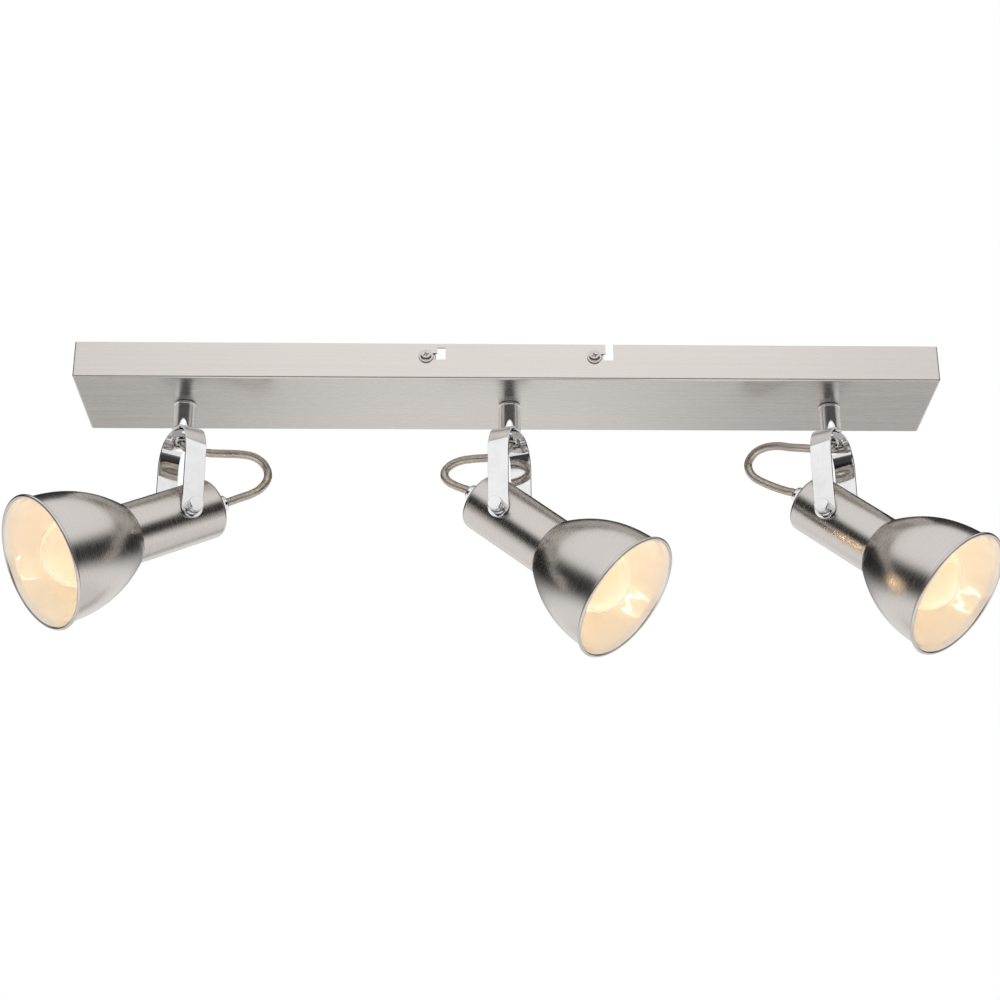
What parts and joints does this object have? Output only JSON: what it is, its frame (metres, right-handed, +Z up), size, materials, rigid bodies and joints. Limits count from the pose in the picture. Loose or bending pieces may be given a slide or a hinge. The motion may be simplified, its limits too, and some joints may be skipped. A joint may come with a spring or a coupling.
{
  "type": "track lighting fixture",
  "caption": "Straight ceiling bar canopy in brushed nickel with swivelling bell-shaped spot lamps on chrome yokes and golf-ball bulbs.",
  "frame": {"origin": "centre of the mounting bracket's face against the ceiling", "axes": "+X along the canopy, +Y away from the viewer's side, +Z up into the ceiling"},
  "size_m": [0.6265, 0.1251, 0.207],
  "materials": {
    "canopy_nickel": "satin nickel, brushed lengthwise",
    "lamp_nickel": "satin nickel, brushed round the tube",
    "shade_nickel": "satin nickel outside, glossy white paint inside",
    "chrome": "polished chrome plate",
    "zinc_steel": "zinc-plated steel",
    "block_plastic": "moulded nylon",
    "porcelain": "white heat-proof moulding",
    "bulb_glass": "clear blown glass",
    "mount_glass": "pressed glass stem with a filament",
    "braided_cable": "fine metallic braid over a round lead",
    "brass": "plain brass",
    "lead_sleeve": "insulated inner lead"
  },
  "bodies": {
    "base": {"canopy_shell": "canopy_nickel", "mounting_bracket": "zinc_steel", "side_screw_fl": "canopy_nickel", "side_screw_fr": "canopy_nickel", "side_screw_bl": "canopy_nickel", "side_screw_br": "canopy_nickel", "terminal_block": "block_plastic", "earth_screw": "brass", "stem_a": "chrome", "stem_washer_a": "zinc_steel", "stem_nut_a": "zinc_steel", "yoke_nut_a": "chrome", "lead_a": "lead_sleeve", "stem_b": "chrome", "stem_washer_b": "zinc_steel", "stem_nut_b": "zinc_steel", "yoke_nut_b": "chrome", "lead_b": "lead_sleeve", "stem_c": "chrome", "stem_washer_c": "zinc_steel", "stem_nut_c": "zinc_steel", "yoke_nut_c": "chrome", "lead_c": "lead_sleeve"},
    "yoke_body_a": {"yoke_a": "chrome", "cable_a": "braided_cable"},
    "head_body_a": {"casing_a": "lamp_nickel", "gland_a": "chrome", "shade_a": "shade_nickel", "shade_ring_a": "porcelain", "lampholder_a": "porcelain"},
    "bulb_body_a": {"bulb_cap_a": "brass", "bulb_glass_a": "bulb_glass", "bulb_mount_a": "mount_glass"},
    "knob_a_front": {"thumb_screw_a_front": "chrome"},
    "knob_a_rear": {"thumb_screw_a_rear": "chrome"},
    "yoke_body_b": {"yoke_b": "chrome", "cable_b": "braided_cable"},
    "head_body_b": {"casing_b": "lamp_nickel", "gland_b": "chrome", "shade_b": "shade_nickel", "shade_ring_b": "porcelain", "lampholder_b": "porcelain"},
    "bulb_body_b": {"bulb_cap_b": "brass", "bulb_glass_b": "bulb_glass", "bulb_mount_b": "mount_glass"},
    "knob_b_front": {"thumb_screw_b_front": "chrome"},
    "knob_b_rear": {"thumb_screw_b_rear": "chrome"},
    "yoke_body_c": {"yoke_c": "chrome", "cable_c": "braided_cable"},
    "head_body_c": {"casing_c": "lamp_nickel", "gland_c": "chrome", "shade_c": "shade_nickel", "shade_ring_c": "porcelain", "lampholder_c": "porcelain"},
    "bulb_body_c": {"bulb_cap_c": "brass", "bulb_glass_c": "bulb_glass", "bulb_mount_c": "mount_glass"},
    "knob_c_front": {"thumb_screw_c_front": "chrome"},
    "knob_c_rear": {"thumb_screw_c_rear": "chrome"}
  },
  "joints": [
    {"name": "pan_a", "type": "hinge", "parent": "base", "child": "yoke_body_a", "pos_m": [-0.21275, 0, -0.1073], "axis": [0, 0, 1], "range_deg": [-117, 233]},
    {"name": "tilt_a", "type": "hinge", "parent": "yoke_body_a", "child": "head_body_a", "pos_m": [-0.21275, 0, -0.1073], "axis": [0.5299, -0.848, 0], "range_deg": [-44.6, 60.4], "deforming": ["cable_a"]},
    {"name": "bulb_unscrew_a", "type": "slide", "parent": "head_body_a", "child": "bulb_body_a", "axis": [-0.7374, -0.4608, -0.4939], "range_m": [0, 0.022]},
    {"name": "knob_turn_a_front", "type": "hinge", "parent": "head_body_a", "child": "knob_a_front", "pos_m": [-0.21275, 0, -0.1073], "axis": [0.5299, -0.848, 0], "range_deg": [-360, 360]},
    {"name": "knob_turn_a_rear", "type": "hinge", "parent": "head_body_a", "child": "knob_a_rear", "pos_m": [-0.21275, 0, -0.1073], "axis": [0.5299, -0.848, 0], "range_deg": [-360, 360]},
    {"name": "pan_b", "type": "hinge", "parent": "base", "child": "yoke_body_b", "pos_m": [0, 0, -0.1073], "axis": [0, 0, 1], "range_deg": [-243.2, 106.8]},
    {"name": "tilt_b", "type": "hinge", "parent": "yoke_body_b", "child": "head_body_b", "pos_m": [0, 0, -0.1073], "axis": [0.3714, 0.9285, 0], "range_deg": [-55.6, 49.4], "deforming": ["cable_b"]},
    {"name": "bulb_unscrew_b", "type": "slide", "parent": "head_body_b", "child": "bulb_body_b", "axis": [0.705, -0.282, -0.6508], "range_m": [0, 0.022]},
    {"name": "knob_turn_b_front", "type": "hinge", "parent": "head_body_b", "child": "knob_b_front", "pos_m": [0, 0, -0.1073], "axis": [0.3714, 0.9285, 0], "range_deg": [-360, 360]},
    {"name": "knob_turn_b_rear", "type": "hinge", "parent": "head_body_b", "child": "knob_b_rear", "pos_m": [0, 0, -0.1073], "axis": [0.3714, 0.9285, 0], "range_deg": [-360, 360]},
    {"name": "pan_c", "type": "hinge", "parent": "base", "child": "yoke_body_c", "pos_m": [0.21275, 0, -0.1073], "axis": [0, 0, 1], "range_deg": [-233.4, 116.6]},
    {"name": "tilt_c", "type": "hinge", "parent": "yoke_body_c", "child": "head_body_c", "pos_m": [0.21275, 0, -0.1073], "axis": [0.524, 0.8517, 0], "range_deg": [-57, 48], "deforming": ["cable_c"]},
    {"name": "bulb_unscrew_c", "type": "slide", "parent": "head_body_c", "child": "bulb_body_c", "axis": [0.633, -0.3894, -0.6691], "range_m": [0, 0.022]},
    {"name": "knob_turn_c_front", "type": "hinge", "parent": "head_body_c", "child": "knob_c_front", "pos_m": [0.21275, 0, -0.1073], "axis": [0.524, 0.8517, 0], "range_deg": [-360, 360]},
    {"name": "knob_turn_c_rear", "type": "hinge", "parent": "head_body_c", "child": "knob_c_rear", "pos_m": [0.21275, 0, -0.1073], "axis": [0.524, 0.8517, 0], "range_deg": [-360, 360]}
  ]
}
